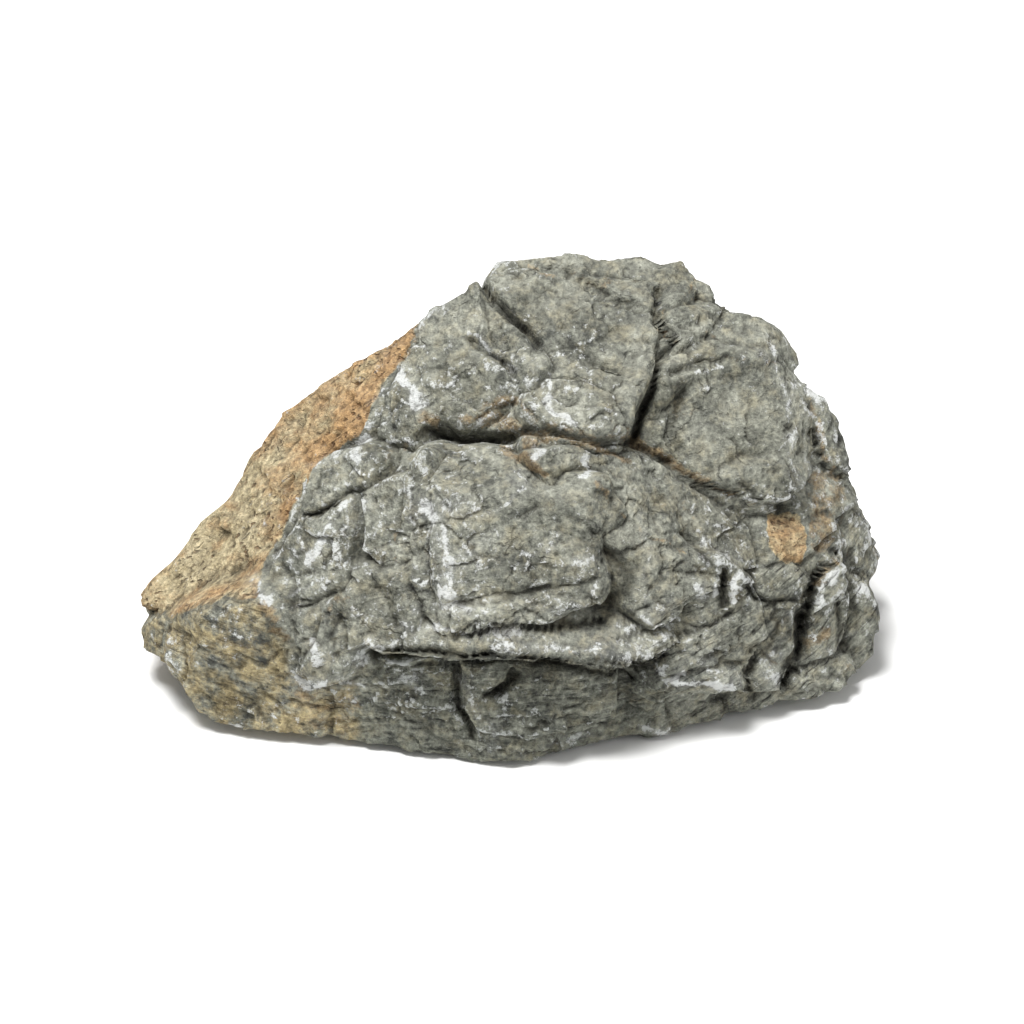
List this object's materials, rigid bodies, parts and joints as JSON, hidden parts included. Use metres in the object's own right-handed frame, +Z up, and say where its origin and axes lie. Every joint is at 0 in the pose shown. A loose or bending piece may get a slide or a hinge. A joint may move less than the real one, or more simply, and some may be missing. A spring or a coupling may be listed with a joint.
{
  "type": "pagoda rock",
  "caption": "Grey limestone boulder with stacked ledges, cracks and an ochre flank, standing on a small flat spot.",
  "frame": {"origin": "a point of the flat spot that the rock rests on, below the rock's middle", "axes": "+X to the right along the rock's length, -Y towards the viewer of the picture, +Z up away from the resting face"},
  "size_m": [0.1738, 0.115, 0.0971],
  "materials": {
    "limestone": "rough, weathered"
  },
  "bodies": {
    "root": {"rock": "limestone"}
  },
  "joints": []
}
